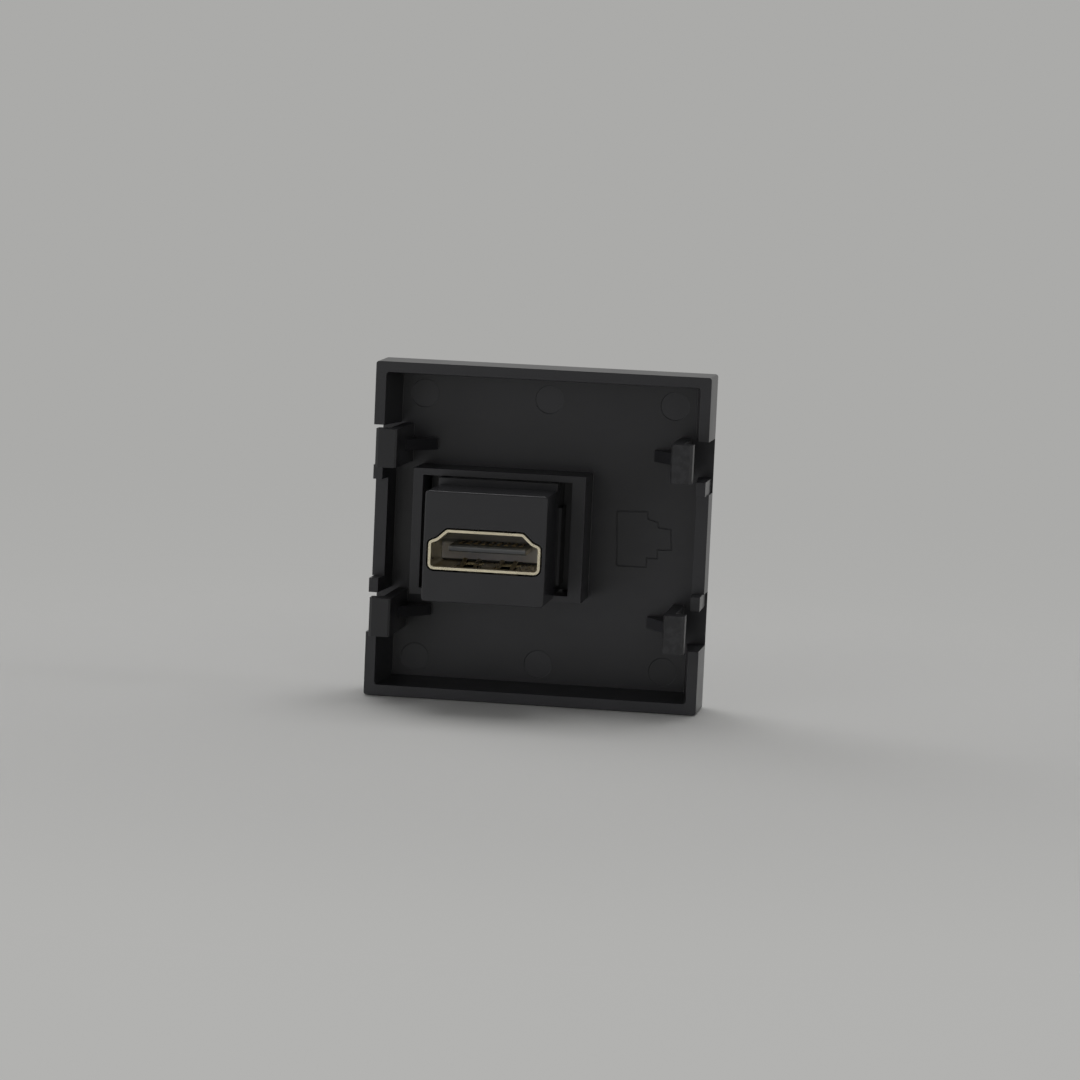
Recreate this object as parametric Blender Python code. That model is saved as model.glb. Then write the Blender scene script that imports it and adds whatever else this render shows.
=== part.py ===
"""Rear-facing HDMI socket module: a 45 mm snap-in plate with a through coupler.

World axes: +X to the left as seen from the rear, +Y to the rear, +Z up.
The origin is the centre of the tray's rear rim. Sizes below are millimetres.
"""
import math

import bmesh
import bpy
from mathutils import Matrix, Vector

for stale in list(bpy.data.objects):
    bpy.data.objects.remove(stale, do_unlink=True)

MM = 0.001

# Driving dimensions of the plate
MODULE = 45.0
DRAFT = 0.13
RIM_WALL = 1.4
SIDE_DEPTH = 7.7
TRAY_DEPTH = 7.65
PLATE_THICKNESS = 1.8
EDGE_ROUND = 1.2
CORNER_RADIUS = 0.35
TRAY_DRAFT = 0.5
CORNER_DRAFT = 1.0

# Driving dimensions of the side walls and their four clips
CLIP_CENTRE = 11.22
CLIP_LENGTH = 5.12
CLIP_RISE = 5.38
CLIP_ARM = 1.4
CLIP_HEAD = 2.85
CLIP_SET_IN = 1.53
CLIP_SHIFT = 0.15
CATCH_RISE = 3.0
CATCH_SLOPE = 0.25
CLIP_BREAK = 0.25
HEAD_CHAMFER = 0.4
GAP_FAR = 13.9
GAP_NEAR = 8.55
TAB_NEAR = 6.65
TAB_SET_IN = 0.16
MIDDLE_DROP = 3.3
GUSSET_REACH = 3.4
GUSSET_THICKNESS = 1.5
GUSSET_RISE = 6.2
GUSSET_TOE = 0.9

# Driving dimensions of the marks that the mould leaves on the tray floor
WITNESS = (
    (9.8, 3.35), (10.1, -3.8), (14.0, -3.8), (14.0, -2.57), (15.45, -2.55), (15.4, -1.4),
    (17.3, -1.3), (17.1, 1.3), (15.4, 1.5), (15.35, 2.2), (13.9, 2.6), (13.85, 3.55),
)
WITNESS_LINE = 0.14
MARK_DEPTH = 0.1
MARK_RADIUS = 1.9
MARK_INSET_X = 5.58
MARK_INSET_Z = 4.57
MARK_SIDES = 24

# Driving dimensions of the coupler and the collar that surrounds it
PORT_X = 5.2
COLLAR_RISE = 7.65
COLLAR_GAP_LEFT = 2.3
COLLAR_GAP_RIGHT = 1.8
COLLAR_WALL_LEFT = 1.3
COLLAR_WALL_RIGHT = 1.8
COLLAR_BAR = 0.9
BODY_SIDE_WALL = 0.575
BODY_HEIGHT = 14.8
BODY_CLEARANCE = 0.15
EAR_THICKNESS = 1.6
EAR_LIFT = 0.05
LEDGE_STEP = 0.33
LEDGE_DROP = 3.0
LEDGE_TOP_IN = 3.4
LEDGE_FOOT_IN = 1.0
BLOCK_SIDE_WALL = 0.665
BLOCK_HEIGHT = 14.47
BLOCK_CENTRE_Z = -0.735
BLOCK_RADIUS = 0.4
BLOCK_EDGE = 0.15

# Driving dimensions of each HDMI receptacle
SHELL_WIDTH = 14.75
SHELL_HEIGHT = 5.28
SHELL_CENTRE_Z = -1.12
SHELL_SHEET = 0.35
SHELL_CORNER = 0.75
SHELL_BEND = 0.6
SHELL_FIT = 0.22
SHELL_SHOULDER_DROP = 1.61
SHELL_KINK_DROP = 1.16
SHELL_KINK_IN = 1.085
SHELL_FLAT_IN = 2.355
OPEN_DEPTH = 8.8
BASE_THICKNESS = 0.9
TONGUE_WIDTH = 10.1
TONGUE_THICKNESS = 0.85
TONGUE_CENTRE_Z = -1.17
TONGUE_RECESS = 2.6
TONGUE_TIP = 0.5
FINGER_OFFSET = 2.45
PRONG_OFFSET = 0.9
PRONG_WIDTH = 0.5
FINGER_WINDOW = 2.95
FINGER_RELIEF = 0.3
FINGER_START = 1.5
FINGER_STRAIGHT = 0.6
FINGER_CONTACT = 6.3
FINGER_END = 7.3
FINGER_SLOT = 0.35
FINGER_SHEET = 0.25
FINGER_SET_IN = 0.05
FINGER_DIP = 0.75
FINGER_TIP_DIP = 0.26
CONTACT_PITCH = 1.0
CONTACT_WIDTH = 0.46
CONTACT_THICKNESS = 0.22
CONTACT_PROUD = 0.06
CONTACT_SET_BACK = 3.0
CONTACT_GAP = 0.04
CONTACT_ROWS = (("wide", -1, 10), ("narrow", 1, 9))
BOARD_THICKNESS = 0.95
BOARD_SIDE_WALL = 0.8
BOARD_END_WALL = 1.7
FIT_GAP = 0.12
ROOT = 0.3
OVERLAP = 0.01
OVERSHOOT = 1.0

# Levels, lines and positions that follow from the driving dimensions
FLOOR_Y = -TRAY_DEPTH
FRONT_Y = FLOOR_Y - PLATE_THICKNESS
HALF = MODULE / 2
RIM_HALF = HALF - DRAFT
RECEPTACLE_DEPTH = OPEN_DEPTH + BASE_THICKNESS
RECEPTACLE_BACK = RECEPTACLE_DEPTH - FIT_GAP / 2
BOARD_FRONT_Y = FRONT_Y + RECEPTACLE_DEPTH
BOARD_REAR_Y = BOARD_FRONT_Y + BOARD_THICKNESS
REAR_MOUTH_Y = BOARD_REAR_Y + RECEPTACLE_DEPTH
COLLAR_Y = FLOOR_Y + COLLAR_RISE
BODY_WIDTH = SHELL_WIDTH + 2 * BODY_SIDE_WALL
BLOCK_WIDTH = SHELL_WIDTH + 2 * BLOCK_SIDE_WALL
BOARD_WIDTH = BODY_WIDTH - 2 * BOARD_SIDE_WALL
BOARD_HEIGHT = BODY_HEIGHT - 2 * BOARD_END_WALL
CLIP_OUTER = HALF - CLIP_SET_IN
CLIP_INNER = CLIP_OUTER - CLIP_HEAD
POCKET_LEFT = PORT_X + BODY_WIDTH / 2 + COLLAR_GAP_LEFT
POCKET_RIGHT = PORT_X - BODY_WIDTH / 2 - COLLAR_GAP_RIGHT
POCKET_HALF = BODY_HEIGHT / 2 + BODY_CLEARANCE

ALONG_Y = Matrix(((1, 0, 0, 0), (0, 0, -1, 0), (0, 1, 0, 0), (0, 0, 0, 1)))
ALONG_X = Matrix(((0, 0, 1, 0), (1, 0, 0, 0), (0, 1, 0, 0), (0, 0, 0, 1)))
ALONG_Z = Matrix.Identity(4)

parts = bpy.data.collections.new("hdmi_socket_module")
cutters = bpy.data.collections.new("cutters")
bpy.context.scene.collection.children.link(parts)
bpy.context.scene.collection.children.link(cutters)
rim_centre = bpy.data.objects.new("rim_centre", None)
parts.objects.link(rim_centre)

LOOKS = {
    "moulded_black": ((0.012, 0.012, 0.013, 1.0), 0.0, 0.35),
    "coupler_black": ((0.010, 0.010, 0.011, 1.0), 0.0, 0.25),
    "shell_metal": ((0.62, 0.53, 0.36, 1.0), 1.0, 0.28),
    "insulator_black": ((0.03, 0.03, 0.03, 1.0), 0.0, 0.5),
    "contact_gold": ((0.80, 0.58, 0.22, 1.0), 1.0, 0.25),
    "board_green": ((0.02, 0.12, 0.05, 1.0), 0.0, 0.5),
}
SHARP_FROM = 40.0
ROUND_STEPS = 3


def material(name, look):
    colour, metallic, roughness = LOOKS[look]
    made = bpy.data.materials.new(name + "_" + look)
    made.use_nodes = True
    shader = made.node_tree.nodes["Principled BSDF"]
    shader.inputs["Base Color"].default_value = colour
    shader.inputs["Metallic"].default_value = metallic
    shader.inputs["Roughness"].default_value = roughness
    made.diffuse_color = colour
    return made


def add_object(name, mesh, look=None):
    made = bpy.data.objects.new(name, mesh)
    if look is None:
        cutters.objects.link(made)
        made.hide_render = True
        made.display_type = "WIRE"
    else:
        parts.objects.link(made)
        made.parent = rim_centre
        mesh.materials.append(material(name, look))
    return made


def finish_mesh(name, bm):
    bmesh.ops.recalc_face_normals(bm, faces=bm.faces)
    mesh = bpy.data.meshes.new(name)
    bm.to_mesh(mesh)
    bm.free()
    mesh.shade_smooth()
    mesh.set_sharp_from_angle(angle=math.radians(SHARP_FROM))
    return mesh


def box(name, low, high, look=None):
    bm = bmesh.new()
    bmesh.ops.create_cube(bm, size=MM)
    size = Vector(high) - Vector(low)
    bmesh.ops.scale(bm, vec=size, verts=bm.verts)
    made = add_object(name, finish_mesh(name, bm), look)
    made.location = (Vector(low) + Vector(high)) / 2 * MM
    return made


def flat_curve(name, outlines, thickness):
    """A filled 2D curve, the first outline outer and any other a hole, as a mesh."""
    curve = bpy.data.curves.new(name + "_outline", "CURVE")
    curve.dimensions = "2D"
    curve.fill_mode = "BOTH" if thickness else "FRONT"
    curve.extrude = thickness / 2 * MM
    for outline in outlines:
        spline = curve.splines.new("POLY")
        spline.points.add(len(outline) - 1)
        spline.use_cyclic_u = True
        for point, (u, v) in zip(spline.points, outline):
            point.co = (u * MM, v * MM, 0.0, 1.0)
    holder = bpy.data.objects.new(name + "_outline", curve)
    flat = bpy.data.meshes.new_from_object(holder)
    bpy.data.objects.remove(holder, do_unlink=True)
    bm = bmesh.new()
    bm.from_mesh(flat)
    bpy.data.meshes.remove(flat)
    bmesh.ops.remove_doubles(bm, verts=bm.verts, dist=1e-6)
    return bm


def prism(name, outlines, start, end, frame, look=None):
    """Extrude outlines between two levels along one world axis."""
    bm = flat_curve(name, outlines, abs(end - start))
    bm.transform(frame)
    made = add_object(name, finish_mesh(name, bm), look)
    axis = Vector([abs(value) for value in frame.col[2][:3]])
    made.location = axis * (start + end) / 2 * MM
    return made


def stepped(name, centre, size, radius, levels, look=None):
    """Extrude a rounded rectangle along Y through levels, each set in by its own amount."""
    half_u, half_v = size[0] / 2, size[1] / 2
    outline = rounded(rectangle(-half_u, -half_v, half_u, half_v), [radius] * 4)
    bm = flat_curve(name, [outline], 0.0)
    bm.transform(ALONG_Y)
    cap = list(bm.faces)
    here_y, here_in = 0.0, 0.0
    for number, (level, set_in) in enumerate(levels):
        if number:
            grown = bmesh.ops.extrude_face_region(bm, geom=cap)["geom"]
            if number > 1:
                bmesh.ops.delete(bm, geom=cap, context="FACES")
            cap = [item for item in grown if isinstance(item, bmesh.types.BMFace)]
        rim = list({vert for face in cap for vert in face.verts})
        ratio = ((half_u - set_in) / (half_u - here_in), 1.0, (half_v - set_in) / (half_v - here_in))
        bmesh.ops.scale(bm, vec=ratio, verts=rim)
        bmesh.ops.translate(bm, vec=(0.0, (level - here_y) * MM, 0.0), verts=rim)
        here_y, here_in = level, set_in
    made = add_object(name, finish_mesh(name, bm), look)
    made.location = (centre[0] * MM, 0.0, centre[1] * MM)
    return made


def cut(target, cutter):
    step = target.modifiers.new("cut_" + cutter.name, "BOOLEAN")
    step.operation = "DIFFERENCE"
    step.solver = "EXACT"
    step.object = cutter


def join(target, piece):
    step = target.modifiers.new("join_" + piece.name, "BOOLEAN")
    step.operation = "UNION"
    step.solver = "EXACT"
    step.object = piece


def rectangle(left, bottom, right, top):
    return [(left, bottom), (right, bottom), (right, top), (left, top)]


def rounded(points, radii):
    """Round each corner of a closed outline with its own radius."""
    result = []
    count = len(points)
    for i, (corner, radius) in enumerate(zip(points, radii)):
        here = Vector(corner)
        before = (Vector(points[i - 1]) - here).normalized()
        after = (Vector(points[(i + 1) % count]) - here).normalized()
        opening = before.angle(after)
        if radius <= 0.0:
            result.append(tuple(here))
            continue
        reach = radius / math.tan(opening / 2)
        middle = here + (before + after).normalized() * (radius / math.sin(opening / 2))
        first = here + before * reach - middle
        last = here + after * reach - middle
        sweep = first.angle_signed(last)
        for k in range(ROUND_STEPS + 1):
            turn = Matrix.Rotation(-sweep * k / ROUND_STEPS, 2)
            result.append(tuple(middle + turn @ first))
    return result


def inset(points, distance):
    """Move every side of a counter-clockwise outline inwards by a distance."""
    result = []
    count = len(points)
    for i in range(count):
        here = Vector(points[i])
        into = (here - Vector(points[i - 1])).normalized()
        out = (Vector(points[(i + 1) % count]) - here).normalized()
        normal_in = Vector((-into.y, into.x))
        normal_out = Vector((-out.y, out.x))
        along = (normal_in + normal_out).normalized()
        result.append(tuple(here + along * (distance / along.dot(normal_in))))
    return result


def round_edge(level, run, set_in, base=0.0):
    """Levels of a quarter-round edge that runs along Y while it is set in sideways."""
    result = []
    for k in range(ROUND_STEPS + 1):
        turn = math.radians(90 * k / ROUND_STEPS)
        result.append((level + run * math.sin(turn), base + set_in * (1 - math.cos(turn))))
    return result


def shell_outline(grow):
    """The receptacle's outline, wide side down, grown outwards by a distance."""
    half = SHELL_WIDTH / 2
    low = SHELL_CENTRE_Z - SHELL_HEIGHT / 2
    top = SHELL_CENTRE_Z + SHELL_HEIGHT / 2
    right = [
        (half, low),
        (half, top - SHELL_SHOULDER_DROP),
        (half - SHELL_KINK_IN, top - SHELL_KINK_DROP),
        (half - SHELL_FLAT_IN, top),
    ]
    left = [(-u, v) for u, v in reversed(right)]
    corners = [(PORT_X + u, v) for u, v in right + left]
    outer = SHELL_CORNER + grow
    soft = SHELL_BEND + grow
    dip = SHELL_BEND - grow
    radii = [outer, soft, dip, soft, soft, dip, soft, outer]
    return rounded(inset(corners, -grow), radii)


def corner_wedge(plate, side, end, label):
    """The extra draft on a side wall between the clip's gap and the tray's corner."""
    rim_inner = RIM_HALF - RIM_WALL
    middle = rim_inner + RIM_WALL / 2
    profile = [
        (rim_inner - CORNER_DRAFT, FLOOR_Y - ROOT),
        (middle, FLOOR_Y - ROOT),
        (middle, -OVERLAP),
        (rim_inner, -OVERLAP),
        (rim_inner - CORNER_DRAFT, FLOOR_Y),
    ]
    outline = [(side * u, v) for u, v in profile]
    z_low, z_high = sorted((end * (GAP_FAR - OVERLAP), end * (rim_inner + OVERLAP)))
    join(plate, prism(label + "_corner_wedge", [outline], z_low, z_high, ALONG_Z))


def wall_gaps(plate, side, side_name):
    """Drop the middle of one side wall, open a gap beside each clip and set the tabs in."""
    inner = RIM_HALF - RIM_WALL - 2 * CORNER_DRAFT
    outer = HALF + OVERSHOOT

    def side_box(label, near, far, y_low, z_near, z_far):
        x_low, x_high = sorted((side * near, side * far))
        z_low, z_high = sorted((z_near, z_far))
        cut(plate, box(label, (x_low, y_low, z_low), (x_high, OVERSHOOT, z_high)))

    side_box(side_name + "_middle_drop", inner, outer, -MIDDLE_DROP, -TAB_NEAR, TAB_NEAR)
    for end, end_name in ((1, "upper"), (-1, "lower")):
        label = side_name + "_" + end_name
        side_box(label + "_gap", inner, outer, FLOOR_Y, end * GAP_NEAR, end * GAP_FAR)
        side_box(
            label + "_tab_set_in", RIM_HALF - TAB_SET_IN, outer, FLOOR_Y,
            end * (TAB_NEAR - OVERLAP), end * (GAP_NEAR + OVERLAP))


def snap_clip(plate, side, end, label):
    """One hooked clip that stands on the tray floor, with the gusset rib behind it."""
    foot = FLOOR_Y - ROOT
    arm_outer = CLIP_INNER + CLIP_ARM
    profile = [
        (CLIP_INNER, foot),
        (arm_outer, foot),
        (arm_outer, CATCH_RISE - CATCH_SLOPE),
        (CLIP_OUTER, CATCH_RISE),
        (CLIP_OUTER, CLIP_RISE - HEAD_CHAMFER),
        (CLIP_OUTER - HEAD_CHAMFER, CLIP_RISE),
        (CLIP_INNER + CLIP_BREAK, CLIP_RISE),
        (CLIP_INNER, CLIP_RISE - CLIP_BREAK),
    ]
    toe = CLIP_INNER - GUSSET_REACH
    rib_profile = [
        (toe, foot),
        (CLIP_INNER + ROOT, foot),
        (CLIP_INNER + ROOT, FLOOR_Y + GUSSET_RISE),
        (CLIP_INNER, FLOOR_Y + GUSSET_RISE),
        (toe, FLOOR_Y + GUSSET_TOE),
    ]
    for piece_name, points, thickness in (
            ("_clip", profile, CLIP_LENGTH), ("_gusset", rib_profile, GUSSET_THICKNESS)):
        outline = [(side * u + CLIP_SHIFT, v) for u, v in points]
        low = end * CLIP_CENTRE - thickness / 2
        join(plate, prism(label + piece_name, [outline], low, low + thickness, ALONG_Z))


def mould_marks(plate):
    """Round ejector marks and the insert's witness line, sunk into the tray floor."""
    low, high = FLOOR_Y - MARK_DEPTH, FLOOR_Y + ROOT
    mark_x = HALF - MARK_INSET_X
    mark_z = HALF - MARK_INSET_Z
    for across, u in (("left", mark_x), ("middle", 0.0), ("right", -mark_x)):
        for up, v in (("upper", mark_z), ("lower", -mark_z)):
            bm = bmesh.new()
            bmesh.ops.create_cone(
                bm, cap_ends=True, segments=MARK_SIDES, radius1=MARK_RADIUS * MM,
                radius2=MARK_RADIUS * MM, depth=(high - low) * MM)
            bm.transform(ALONG_Y)
            name = "%s_%s_ejector_mark" % (across, up)
            mark = add_object(name, finish_mesh(name, bm))
            mark.location = (u * MM, (low + high) / 2 * MM, v * MM)
            cut(plate, mark)
    outline = [(-u, v) for u, v in WITNESS]
    line = [outline, inset(outline, WITNESS_LINE)]
    cut(plate, prism("witness_line", line, low, high, ALONG_Y))


def cover_plate():
    """Square tray with broken side walls, four clips and a collar round the coupler."""
    round_depth = PLATE_THICKNESS + TRAY_DEPTH - SIDE_DEPTH
    levels = [(0.0, DRAFT)] + round_edge(-SIDE_DEPTH, -round_depth, EDGE_ROUND)
    plate = stepped(
        "cover_plate", (0.0, 0.0), (MODULE, MODULE), CORNER_RADIUS, levels, "moulded_black")
    tray_size = 2 * (RIM_HALF - RIM_WALL)
    tray_levels = [
        (OVERSHOOT, 0.0),
        (0.0, 0.0),
        (FLOOR_Y, TRAY_DRAFT),
    ]
    cut(plate, stepped("tray_recess", (0.0, 0.0), (tray_size, tray_size), CORNER_RADIUS, tray_levels))
    for side, side_name in ((1, "left"), (-1, "right")):
        for end, end_name in ((1, "upper"), (-1, "lower")):
            corner_wedge(plate, side, end, side_name + "_" + end_name)
        wall_gaps(plate, side, side_name)
    for side, side_name in ((1, "left"), (-1, "right")):
        for end, end_name in ((1, "upper"), (-1, "lower")):
            snap_clip(plate, side, end, side_name + "_" + end_name)

    collar = prism("collar", [
        rectangle(
            POCKET_RIGHT - COLLAR_WALL_RIGHT, -POCKET_HALF - COLLAR_BAR,
            POCKET_LEFT + COLLAR_WALL_LEFT, POCKET_HALF + COLLAR_BAR),
        rectangle(POCKET_RIGHT, -POCKET_HALF, POCKET_LEFT, POCKET_HALF),
    ], FLOOR_Y - ROOT, COLLAR_Y, ALONG_Y)
    join(plate, collar)
    opening_half = BODY_WIDTH / 2 + BODY_CLEARANCE
    cut(plate, box(
        "port_opening",
        (PORT_X - opening_half, FRONT_Y - OVERSHOOT, -POCKET_HALF),
        (PORT_X + opening_half, FLOOR_Y + OVERSHOOT, POCKET_HALF)))
    mould_marks(plate)


def rear_housing():
    """The block with the rear socket that stands behind the collar."""
    edge_y = REAR_MOUTH_Y - BLOCK_EDGE
    levels = [(BOARD_REAR_Y + FIT_GAP / 2, 0.0)] + round_edge(edge_y, BLOCK_EDGE, BLOCK_EDGE)
    block = stepped(
        "coupler_rear_housing", (PORT_X, BLOCK_CENTRE_Z), (BLOCK_WIDTH, BLOCK_HEIGHT),
        BLOCK_RADIUS, levels, "coupler_black")
    cut(block, prism(
        "rear_cavity", [shell_outline(SHELL_FIT)],
        BOARD_REAR_Y - OVERSHOOT, REAR_MOUTH_Y + OVERSHOOT, ALONG_Y))


def front_housing():
    """The housing with the front socket, which fills the plate's opening and the collar."""
    half_x, half_z = BODY_WIDTH / 2, BODY_HEIGHT / 2
    body = box(
        "coupler_front_housing",
        (PORT_X - half_x, FRONT_Y, -half_z),
        (PORT_X + half_x, BOARD_REAR_Y - FIT_GAP / 2, half_z),
        "coupler_black")
    ear_y = FLOOR_Y + EAR_LIFT
    join(body, box(
        "housing_ears",
        (POCKET_RIGHT + BODY_CLEARANCE, ear_y, -half_z),
        (POCKET_LEFT - BODY_CLEARANCE, ear_y + EAR_THICKNESS, half_z)))
    join(body, box(
        "housing_ledge",
        (PORT_X - half_x - LEDGE_STEP, ear_y + EAR_THICKNESS / 2, LEDGE_FOOT_IN - half_z),
        (PORT_X, BOARD_REAR_Y - LEDGE_DROP, half_z - LEDGE_TOP_IN)))
    cut(body, prism(
        "front_cavity", [shell_outline(SHELL_FIT)],
        FRONT_Y - OVERSHOOT, BOARD_FRONT_Y + OVERSHOOT, ALONG_Y))
    pocket_x, pocket_z = BOARD_WIDTH / 2 + FIT_GAP, BOARD_HEIGHT / 2 + FIT_GAP
    cut(body, box(
        "board_pocket",
        (PORT_X - pocket_x, BOARD_FRONT_Y, -pocket_z),
        (PORT_X + pocket_x, BOARD_REAR_Y + OVERSHOOT, pocket_z)))


def joining_board():
    """The board that the two receptacles' contacts end on."""
    box(
        "joining_board",
        (PORT_X - BOARD_WIDTH / 2, BOARD_FRONT_Y + FIT_GAP / 2, -BOARD_HEIGHT / 2),
        (PORT_X + BOARD_WIDTH / 2, BOARD_REAR_Y - FIT_GAP / 2, BOARD_HEIGHT / 2),
        "board_green")


def at_depth(end_name, depth):
    """World Y of a depth measured from one receptacle's mouth inwards."""
    return REAR_MOUTH_Y - depth if end_name == "rear" else FRONT_Y + depth


def hdmi_shell(end_name):
    """Folded metal shell with two forked spring fingers cut from its wide side."""
    near, far = at_depth(end_name, 0.0), at_depth(end_name, RECEPTACLE_BACK)
    shell = prism(
        end_name + "_shell", [shell_outline(0.0), shell_outline(-SHELL_SHEET)],
        near, far, ALONG_Y, "shell_metal")
    wide_z = SHELL_CENTRE_Z - SHELL_HEIGHT / 2
    low = wide_z + FINGER_SET_IN
    straight = FINGER_START + FINGER_STRAIGHT
    spine = [
        (FINGER_START - ROOT, low),
        (straight, low),
        (FINGER_CONTACT, low + FINGER_DIP),
        (FINGER_END, low + FINGER_TIP_DIP),
    ]
    profile = spine + [(depth, v + FINGER_SHEET) for depth, v in reversed(spine)]
    outline = [(at_depth(end_name, depth), v) for depth, v in profile]
    y_low, y_high = sorted(at_depth(end_name, depth) for depth in (FINGER_START, FINGER_END + FINGER_SLOT))
    for side, side_name in ((1, "left"), (-1, "right")):
        middle_x = PORT_X + side * FINGER_OFFSET
        label = end_name + "_" + side_name
        window = box(
            label + "_window",
            (middle_x - FINGER_WINDOW / 2, y_low, wide_z - ROOT),
            (middle_x + FINGER_WINDOW / 2, y_high, wide_z + SHELL_SHEET + ROOT))
        cut(shell, window)
        for prong, prong_name in ((1, "_left_prong"), (-1, "_right_prong")):
            left = middle_x + prong * PRONG_OFFSET - PRONG_WIDTH / 2
            join(shell, prism(label + prong_name, [outline], left, left + PRONG_WIDTH, ALONG_X))


def hdmi_insulator(end_name):
    """Moulded base with the tongue that carries the contacts."""
    insulator = prism(
        end_name + "_insulator", [shell_outline(-SHELL_SHEET - CONTACT_GAP)],
        at_depth(end_name, OPEN_DEPTH), at_depth(end_name, RECEPTACLE_BACK),
        ALONG_Y, "insulator_black")
    wide_z = SHELL_CENTRE_Z - SHELL_HEIGHT / 2
    y_low, y_high = sorted(at_depth(end_name, depth) for depth in (0.0, RECEPTACLE_BACK + OVERSHOOT))
    for side, side_name in ((1, "left"), (-1, "right")):
        middle_x = PORT_X + side * FINGER_OFFSET
        cut(insulator, box(
            "%s_%s_finger_relief" % (end_name, side_name),
            (middle_x - FINGER_WINDOW / 2, y_low, wide_z),
            (middle_x + FINGER_WINDOW / 2, y_high, wide_z + SHELL_SHEET + FINGER_RELIEF)))
    half, tip = TONGUE_THICKNESS / 2, TONGUE_TIP / 2
    root = OPEN_DEPTH + BASE_THICKNESS / 2
    upper = [(root, half), (TONGUE_RECESS + half, half), (TONGUE_RECESS, tip)]
    lower = [(depth, -rise) for depth, rise in reversed(upper)]
    outline = [(at_depth(end_name, depth), TONGUE_CENTRE_Z + rise) for depth, rise in upper + lower]
    left = PORT_X - TONGUE_WIDTH / 2
    join(insulator, prism(end_name + "_tongue", [outline], left, left + TONGUE_WIDTH, ALONG_X))
    return insulator


def hdmi_contacts(end_name, insulator):
    """Ten contacts on the tongue's wide side and nine on its narrow side."""
    start = TONGUE_RECESS + CONTACT_SET_BACK
    for face_name, face, count in CONTACT_ROWS:
        outside = TONGUE_CENTRE_Z + face * (TONGUE_THICKNESS / 2 + CONTACT_PROUD)
        z_low, z_high = sorted((outside, outside - face * CONTACT_THICKNESS))
        for number in range(count):
            x = PORT_X + (number - (count - 1) / 2) * CONTACT_PITCH
            label = "%s_%s_contact_%02d" % (end_name, face_name, number + 1)
            for piece_name, gap, back, look in (
                    (label, 0.0, RECEPTACLE_BACK, "contact_gold"),
                    (label + "_slot", CONTACT_GAP, RECEPTACLE_BACK + OVERSHOOT, None)):
                reach = CONTACT_WIDTH / 2 + gap
                y_low, y_high = sorted((at_depth(end_name, start - gap), at_depth(end_name, back)))
                piece = box(
                    piece_name, (x - reach, y_low, z_low - gap), (x + reach, y_high, z_high + gap), look)
            cut(insulator, piece)


cover_plate()
rear_housing()
front_housing()
joining_board()
for receptacle in ("rear", "front"):
    hdmi_shell(receptacle)
    hdmi_contacts(receptacle, hdmi_insulator(receptacle))
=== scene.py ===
"""A 45 mm HDMI socket module seen from behind, standing on its lower edge.

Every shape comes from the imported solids. This script gives them their materials, and adds the floor,
the lights, the world and the camera.
"""
import math

import bpy
from mathutils import Matrix, Vector


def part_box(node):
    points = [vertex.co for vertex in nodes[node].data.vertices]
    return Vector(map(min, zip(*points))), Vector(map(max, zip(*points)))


MM = 0.001
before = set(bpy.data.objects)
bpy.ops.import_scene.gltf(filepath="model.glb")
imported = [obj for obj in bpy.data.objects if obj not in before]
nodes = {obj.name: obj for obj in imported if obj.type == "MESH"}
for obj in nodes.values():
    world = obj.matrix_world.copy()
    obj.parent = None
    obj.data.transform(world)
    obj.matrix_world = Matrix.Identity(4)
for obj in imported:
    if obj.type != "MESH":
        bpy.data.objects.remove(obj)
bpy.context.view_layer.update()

# Sizes of the part that its local tones follow: +X is the picture's left, +Y the rear and +Z up
MODULE_HALF = 22.5 * MM
FLOOR_DEPTH = 7.65 * MM
MARK_X = MODULE_HALF - 5.58 * MM
MARK_Z = MODULE_HALF - 4.57 * MM
MARK_RADIUS = 1.9 * MM
TONGUE_CENTRE_Z = -1.17 * MM

# Bounds of the local tones: x + z between the last mark and the rest, and where the clip heads begin
LAST_MARK_SUM = -26.0 * MM
CLIP_FROM_X = 17.6 * MM
CLIP_FROM_Y = 2.0 * MM

# Tones of the floor: to bounced light, then to camera and glossy rays, near the part and further off.
# They fade between two distances from the origin, and the far one gains towards +Y.
FLOOR_BOUNCED = (0.37, 0.368, 0.362)
FLOOR_SEEN = (0.65, 0.648, 0.636)
FLOOR_FAR = (0.407, 0.406, 0.397)
FADE_START = 0.06
FADE_END = 0.16
FAR_GAIN = 1.10
GAIN_START_Y = -0.35
GAIN_END_Y = 0.30

# The world lights the part with the first tone and shows the camera the second one
WORLD_LIGHT = (0.128, 0.128, 0.128)
WORLD_SEEN = (0.448, 0.447, 0.437)

# One pale sweep for the floor and the backdrop, in metres
FLOOR_REACH = 6.0
HALF_WIDTH = 4.0
SWEEP_START = -0.55
SWEEP_RADIUS = 0.25
SWEEP_STEPS = 12
WALL_TOP = 1.3

# Camera solved from the rim, floor and clips in the photograph: its turns in radians, and its place
# from the part's origin along its own axes
YAW, PITCH, ROLL = -0.1400, 0.0955, -0.0582
CAMERA_OFFSET = Vector((0.5563, -0.2856, 482.83)) * MM
FOCAL_PIXELS = 3641.01
PHOTO_WIDTH = 1080.0
SENSOR = 36.0

# Turns picture axes (right, up, towards the viewer) into the frame's
TO_WORLD = Matrix(((-1, 0, 0), (0, 0, 1), (0, 1, 0)))

# Sockets of a colour Mix node, whose names its other data types share
MIX_FIRST, MIX_SECOND, MIX_RESULT = 6, 7, 2


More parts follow.
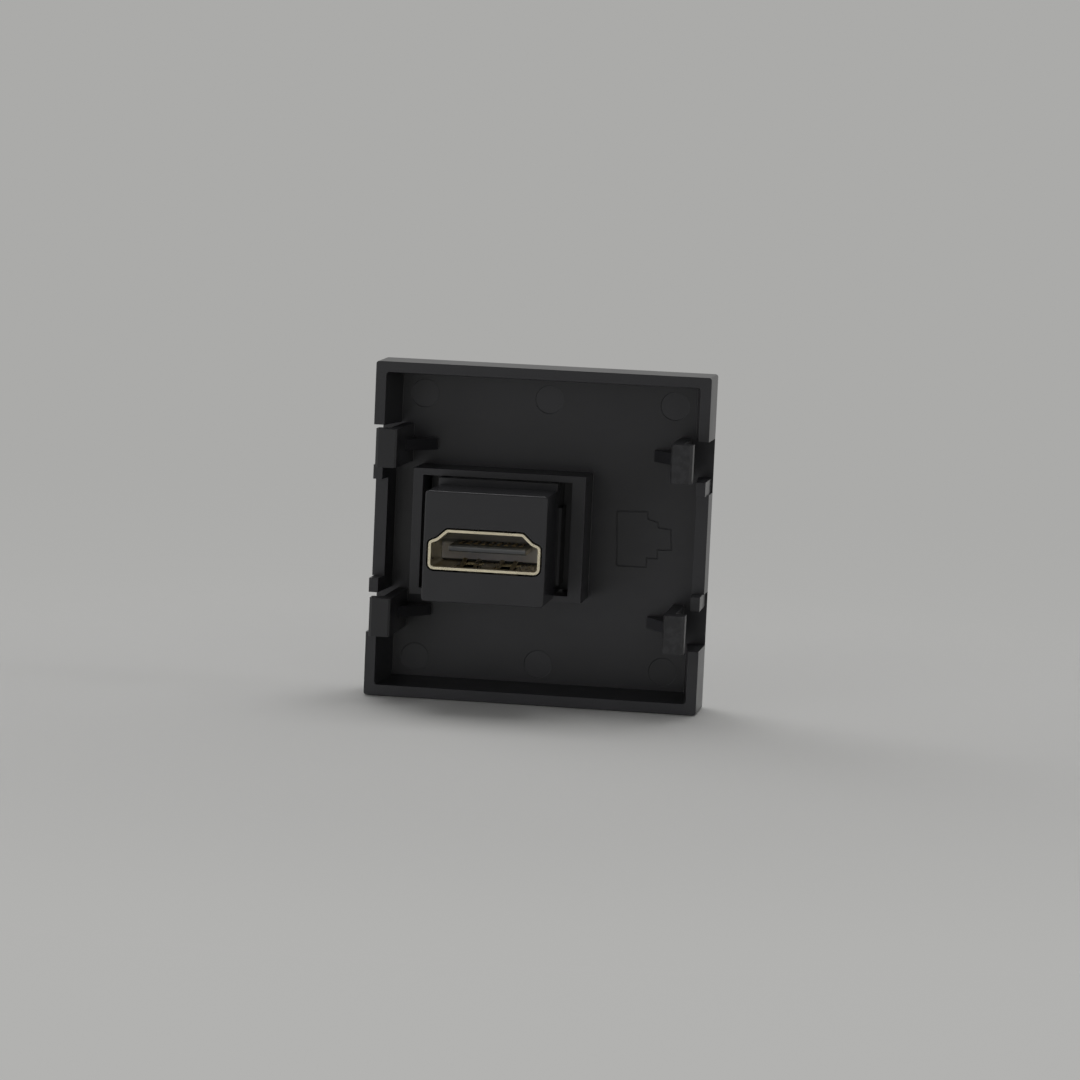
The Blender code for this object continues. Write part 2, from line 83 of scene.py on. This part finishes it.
def colour_mix(tree, factor, first, second):
    """A mix of two colours, each a tuple or a node's output."""
    node = tree.nodes.new("ShaderNodeMix")
    node.data_type = "RGBA"
    tree.links.new(factor, node.inputs["Factor"])
    for socket, value in ((MIX_FIRST, first), (MIX_SECOND, second)):
        if isinstance(value, tuple):
            node.inputs[socket].default_value = (*value, 1.0)
        else:
            tree.links.new(value, node.inputs[socket])
    return node.outputs[MIX_RESULT]


def scaled(colour, factor):
    return tuple(value * factor for value in colour)


class Net:
    """A Principled material and short ways to add nodes to its tree."""

    def __init__(self, name, colour, roughness, metallic=0.0, specular=0.5):
        self.material = bpy.data.materials.new(name)
        self.material.use_nodes = True
        self.material.diffuse_color = (*colour, 1.0)
        self.tree = self.material.node_tree
        self.shader = self.tree.nodes["Principled BSDF"]
        self.set(self.shader, "Base Color", (*colour, 1.0))
        self.set(self.shader, "Roughness", roughness)
        self.set(self.shader, "Metallic", metallic)
        self.set(self.shader, "Specular IOR Level", specular)
        self.place = self.tree.nodes.new("ShaderNodeTexCoord").outputs["Object"]

    def set(self, node, socket, value):
        node.inputs[socket].default_value = value

    def link(self, source, node, socket):
        self.tree.links.new(source, node.inputs[socket])

    def math(self, operation, first, second=None):
        node = self.tree.nodes.new("ShaderNodeMath")
        node.operation = operation
        for socket, value in enumerate((first, second)):
            if isinstance(value, (int, float)):
                node.inputs[socket].default_value = value
            elif value is not None:
                self.link(value, node, socket)
        return node.outputs["Value"]

    def product(self, first, *others):
        for other in others:
            first = self.math("MULTIPLY", first, other)
        return first

    def distance(self, first, second):
        """The length of the diagonal over two sides."""
        squares = [self.product(side, side) for side in (first, second)]
        return self.math("SQRT", self.math("ADD", *squares))

    def ramp(self, source, start, end, low=0.0, high=1.0, kind="SMOOTHSTEP"):
        """From low at start to high at end, and even beyond both; end may be the smaller."""
        node = self.tree.nodes.new("ShaderNodeMapRange")
        node.interpolation_type = kind
        self.link(source, node, "Value")
        for socket, value in (("From Min", start), ("From Max", end), ("To Min", low), ("To Max", high)):
            self.set(node, socket, value)
        return node.outputs["Result"]

    def axes(self):
        node = self.tree.nodes.new("ShaderNodeSeparateXYZ")
        self.link(self.place, node, "Vector")
        return node.outputs["X"], node.outputs["Y"], node.outputs["Z"]

    def noise(self, scale, detail=2.0, rough=0.5, stretch=(1.0, 1.0, 1.0)):
        mapping = self.tree.nodes.new("ShaderNodeMapping")
        self.set(mapping, "Scale", stretch)
        self.link(self.place, mapping, "Vector")
        node = self.tree.nodes.new("ShaderNodeTexNoise")
        self.link(mapping.outputs["Vector"], node, "Vector")
        for socket, value in (("Scale", scale), ("Detail", detail), ("Roughness", rough)):
            self.set(node, socket, value)
        return node.outputs["Fac"]

    def mottle(self, scale, low=0.0, high=1.0, stretch=(1.0, 1.0, 1.0)):
        """Soft blotches between two values."""
        return self.ramp(self.noise(scale, stretch=stretch), 0.3, 0.7, low, high, "LINEAR")

    def blend(self, factor, first, second):
        return colour_mix(self.tree, factor, first, second)

    def relief(self, height, distance, edge):
        """Bump on top of slightly rounded edges."""
        bevel = self.tree.nodes.new("ShaderNodeBevel")
        bevel.samples = 8
        self.set(bevel, "Radius", edge)
        node = self.tree.nodes.new("ShaderNodeBump")
        self.set(node, "Distance", distance)
        self.link(height, node, "Height")
        self.link(bevel.outputs["Normal"], node, "Normal")
        self.link(node.outputs["Normal"], self.shader, "Normal")


def mark_mask(net):
    """One inside five of the six round ejector marks on the tray floor, all but the lower right one."""
    x, y, z = net.axes()
    from_column = net.math("PINGPONG", x, MARK_X / 2)
    from_row = net.math("SUBTRACT", net.math("ABSOLUTE", z), MARK_Z)
    disc = net.ramp(net.distance(from_column, from_row), MARK_RADIUS * 1.04, MARK_RADIUS * 0.96)
    off_floor = net.math("ABSOLUTE", net.math("ADD", y, FLOOR_DEPTH))
    on_floor = net.ramp(off_floor, 0.5 * MM, 0.3 * MM)
    not_last = net.ramp(net.math("ADD", x, z), LAST_MARK_SUM - 1.0 * MM, LAST_MARK_SUM + 1.0 * MM)
    return net.product(disc, on_floor, not_last)


def head_mask(net):
    """One on the four clip heads, which carry painted shade and the wear blotches."""
    _, y, _ = net.axes()
    return net.ramp(y, CLIP_FROM_Y, CLIP_FROM_Y + 0.3 * MM)


def worn_mask(net):
    """Blotches on the heads of the two clips on the side away from the coupler."""
    x, _, _ = net.axes()
    side = net.ramp(x, -CLIP_FROM_X, -CLIP_FROM_X - 0.2 * MM)
    blotch = net.ramp(net.noise(900.0, detail=3.0, rough=0.6), 0.42, 0.62)
    return net.product(side, head_mask(net), blotch)


def moulded_look():
    """Satin black with soft mottling, paler ejector marks and painted shade on the clip heads."""
    colour = (0.0238, 0.0238, 0.0266)
    net = Net("moulded_look", colour, 0.30)
    cloud = net.mottle(130.0, stretch=(1.0, 1.0, 2.2))
    base = net.blend(cloud, scaled(colour, 0.93), scaled(colour, 1.08))
    base = net.blend(mark_mask(net), base, scaled(colour, 1.35))
    # Painted shade darkens the four clip heads
    base = net.blend(head_mask(net), base, scaled(colour, 0.56))
    base = net.blend(worn_mask(net), base, scaled(colour, 1.05))
    net.link(base, net.shader, "Base Color")
    net.link(net.mottle(160.0, 0.29, 0.33), net.shader, "Roughness")
    net.relief(net.noise(5200.0, detail=1.0), 0.003 * MM, 0.10 * MM)
    return net.material


def coupler_look():
    """A slightly glossier black than the cover plate's."""
    colour = (0.0228, 0.0228, 0.0254)
    net = Net("coupler_look", colour, 0.24)
    base = net.blend(net.mottle(170.0), scaled(colour, 0.95), scaled(colour, 1.05))
    net.link(base, net.shader, "Base Color")
    net.link(net.mottle(200.0, 0.22, 0.26), net.shader, "Roughness")
    net.relief(net.noise(4200.0, detail=1.0), 0.002 * MM, 0.10 * MM)
    return net.material


def reach_from_middle(net, y, rear, front):
    """How far y is from the plane midway between a rear and a front piece, and how far their ends are."""
    middle = (rear[1].y + front[0].y) / 2
    return net.math("ABSOLUTE", net.math("SUBTRACT", y, middle)), rear[1].y - middle


def insulator_look():
    """Painted light and shade: palest below the tongue, darkest on top of it and at the foot, with a
    painted highlight on the tip's edge.
    """
    # These tones paint the light and shade inside the socket on one plastic: light below the tongue, shade
    # above it and at the foot, a highlight on the tip
    below = (0.64, 0.64, 0.69)
    top = (0.06, 0.06, 0.06)
    above = (0.21, 0.205, 0.20)
    tip_edge_highlight = (0.135, 0.140, 0.146)
    tip_face_shade = (0.075, 0.080, 0.084)
    foot = (0.012, 0.012, 0.012)
    net = Net("insulator_look", below, 0.38)
    rear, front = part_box("rear_insulator"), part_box("front_insulator")
    _, y, z = net.axes()
    reach, tip_at = reach_from_middle(net, y, rear, front)
    near_tip = net.ramp(reach, tip_at - 1.2 * MM, tip_at - 0.1 * MM)
    on_tip_edge_highlight = net.ramp(z, TONGUE_CENTRE_Z - 0.05 * MM, TONGUE_CENTRE_Z + 0.2 * MM)
    tongue_top_shade = net.ramp(z, TONGUE_CENTRE_Z, TONGUE_CENTRE_Z + 0.3 * MM)
    over_tongue_shade = net.ramp(z, TONGUE_CENTRE_Z + 0.5 * MM, TONGUE_CENTRE_Z + 0.8 * MM)
    foot_shade_mask = net.ramp(z, rear[0].z + 0.35 * MM, rear[0].z + 0.15 * MM)
    base = net.blend(tongue_top_shade, below, top)
    base = net.blend(over_tongue_shade, base, above)
    base = net.blend(near_tip, base, net.blend(on_tip_edge_highlight, tip_face_shade, tip_edge_highlight))
    base = net.blend(foot_shade_mask, base, foot)
    net.link(base, net.shader, "Base Color")
    net.relief(net.noise(4200.0), 0.004 * MM, 0.06 * MM)
    return net.material


def inner_floor_shade_mask(net):
    """One on the floor inside the two shells, from just behind the lips, where shade is painted."""
    rear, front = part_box("rear_shell"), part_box("front_shell")
    _, y, z = net.axes()
    reach, end_at = reach_from_middle(net, y, rear, front)
    lip = end_at - 0.4 * MM
    behind_lip = net.ramp(reach, lip, lip - 0.6 * MM)
    low = net.ramp(z, rear[0].z + 0.42 * MM, rear[0].z + 0.36 * MM)
    return net.product(behind_lip, low)


def metal_look(name, colour, roughness, edge, inner_floor_shade=None):
    """Metal with fine streaks along Y, and with painted shade on a shell's inner floor."""
    spread = 0.05
    net = Net(name, colour, roughness, metallic=1.0)
    streaks = net.noise(900.0, detail=3.0, rough=0.6, stretch=(1.0, 0.12, 1.0))
    net.link(net.ramp(streaks, 0.3, 0.7, roughness - spread, roughness + spread), net.shader, "Roughness")
    tint = net.ramp(net.noise(320.0), 0.35, 0.65)
    base = net.blend(tint, colour, scaled(colour, 0.9))
    if inner_floor_shade:
        # Painted shade on the shell's inner floor
        base = net.blend(inner_floor_shade_mask(net), base, inner_floor_shade)
    net.link(base, net.shader, "Base Color")
    net.relief(streaks, 0.0015 * MM, edge)
    return net.material


def board_look():
    """Dark green with a fine weave, kept near black as painted shade where it shows through the shell's
    windows.
    """
    colour = (0.006, 0.018, 0.010)
    net = Net("board_look", colour, 0.4)
    weave = net.ramp(net.noise(1500.0, stretch=(1.0, 1.0, 3.0)), 0.35, 0.65)
    net.link(net.blend(weave, colour, scaled(colour, 1.25)), net.shader, "Base Color")
    return net.material


def floor_look():
    """Plain paper: its own shading near the part, an even tone further off."""
    net = Net("floor_look", FLOOR_BOUNCED, 0.8, specular=0.1)
    rays = net.tree.nodes.new("ShaderNodeLightPath").outputs
    looking = rays["Is Camera Ray"]
    for ray in ("Is Glossy Ray", "Is Transmission Ray"):
        looking = net.math("MAXIMUM", looking, rays[ray])
    net.link(net.blend(looking, FLOOR_BOUNCED, FLOOR_SEEN), net.shader, "Base Color")
    x, y, _ = net.axes()
    fade = net.product(net.ramp(net.distance(x, y), FADE_START, FADE_END), looking)
    gain = net.ramp(y, GAIN_START_Y, GAIN_END_Y)
    even = net.tree.nodes.new("ShaderNodeEmission")
    net.link(net.blend(gain, FLOOR_FAR, scaled(FLOOR_FAR, FAR_GAIN)), even, "Color")
    mix = net.tree.nodes.new("ShaderNodeMixShader")
    net.link(fade, mix, 0)
    net.link(net.shader.outputs["BSDF"], mix, 1)
    net.link(even.outputs["Emission"], mix, 2)
    net.link(mix.outputs["Shader"], net.tree.nodes["Material Output"], "Surface")
    return net.material


looks = {
    "moulded": moulded_look(),
    "coupler": coupler_look(),
    "insulator": insulator_look(),
    # The shell's darker inner floor colour is painted shade
    "shell": metal_look(
        "shell_look", (0.88, 0.80, 0.595), 0.30, edge=0.05 * MM, inner_floor_shade=(0.58, 0.48, 0.28)),
    # The contacts' colour is darkened past gold: painted shade of their recess
    "contact": metal_look("contact_look", (0.42, 0.30, 0.13), 0.28, edge=0.03 * MM),
    "board": board_look(),
}


def look_for(name):
    """The look of a node, from the word in its name."""
    for word in ("contact", "shell", "insulator", "board"):
        if word in name:
            return looks[word]
    return looks["moulded"] if name == "cover_plate" else looks["coupler"]


for name, node in nodes.items():
    for slot in node.material_slots:
        slot.material = look_for(name)


def sweep_mesh():
    """The floor under the part, a quarter round at its back and the wall above."""
    floor_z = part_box("cover_plate")[0].z
    profile = [(FLOOR_REACH, 0.0), (SWEEP_START, 0.0)]
    for step in range(1, SWEEP_STEPS + 1):
        angle = math.radians(90 * step / SWEEP_STEPS)
        profile.append((SWEEP_START - SWEEP_RADIUS * math.sin(angle), SWEEP_RADIUS * (1 - math.cos(angle))))
    profile.append((SWEEP_START - SWEEP_RADIUS, WALL_TOP))
    points = [(x, y, floor_z + z) for y, z in profile for x in (-HALF_WIDTH, HALF_WIDTH)]
    faces = [(2 * i, 2 * i + 1, 2 * i + 3, 2 * i + 2) for i in range(len(profile) - 1)]
    mesh = bpy.data.meshes.new("floor")
    mesh.from_pydata(points, [], faces)
    mesh.shade_smooth()
    mesh.materials.append(floor_look())
    return mesh


floor = bpy.data.objects.new("floor", sweep_mesh())
bpy.context.scene.collection.objects.link(floor)
floor.visible_shadow = False


def softbox(name, azimuth, elevation, watts, size=0.86, distance=1.6):
    """An area light aimed at the part; azimuth 0 is behind the camera, + to the picture's right."""
    turn, rise = math.radians(azimuth), math.radians(elevation)
    away = Vector((-math.sin(turn) * math.cos(rise), math.cos(turn) * math.cos(rise), math.sin(rise)))
    lamp = bpy.data.lights.new(name, "AREA")
    lamp.energy = watts
    lamp.size = size
    made = bpy.data.objects.new(name, lamp)
    made.location = away * distance
    made.rotation_mode = "QUATERNION"
    made.rotation_quaternion = (-away).to_track_quat("-Z", "Y")
    bpy.context.scene.collection.objects.link(made)


# Directions and watts fitted to the shading in the photograph
softbox("low_left", -48, -22, 9.4, size=1.1)
softbox("front_left", -30, 15, 2.1)
softbox("front_right", 30, 15, 1.7)
softbox("back_left", -135, 35, 4.2)
softbox("back_right", 155, 45, 3.4)
softbox("top_back", 180, 75, 9.5)
softbox("right", 90, 10, 1.6)
softbox("glint", 90, 42, 0.5, size=0.05)


def grey_world():
    """An even grey that fills the shadows, with the floor's far tone to the camera."""
    world = bpy.data.worlds.new("soft_grey")
    world.use_nodes = True
    tree = world.node_tree
    background = tree.nodes["Background"]
    background.inputs["Strength"].default_value = 1.0
    rays = tree.nodes.new("ShaderNodeLightPath").outputs
    tone = colour_mix(tree, rays["Is Camera Ray"], WORLD_LIGHT, WORLD_SEEN)
    tree.links.new(tone, background.inputs["Color"])
    return world


def solved_camera():
    """A camera at the photograph's viewing angle, with its field of view."""
    lens = bpy.data.cameras.new("camera")
    lens.sensor_width = SENSOR
    lens.lens = SENSOR * FOCAL_PIXELS / PHOTO_WIDTH
    lens.clip_start = 0.05
    lens.clip_end = 10.0
    camera = bpy.data.objects.new("camera", lens)
    turn = Matrix.Rotation(YAW, 3, "Y") @ Matrix.Rotation(PITCH, 3, "X") @ Matrix.Rotation(ROLL, 3, "Z")
    turned = TO_WORLD @ turn.transposed()
    camera.matrix_world = Matrix.Translation(turned @ CAMERA_OFFSET) @ turned.to_4x4()
    bpy.context.scene.collection.objects.link(camera)
    return camera


bpy.context.scene.world = grey_world()
bpy.context.scene.view_settings.view_transform = "Standard"
bpy.context.scene.camera = solved_camera()

bpy.context.view_layer.update()
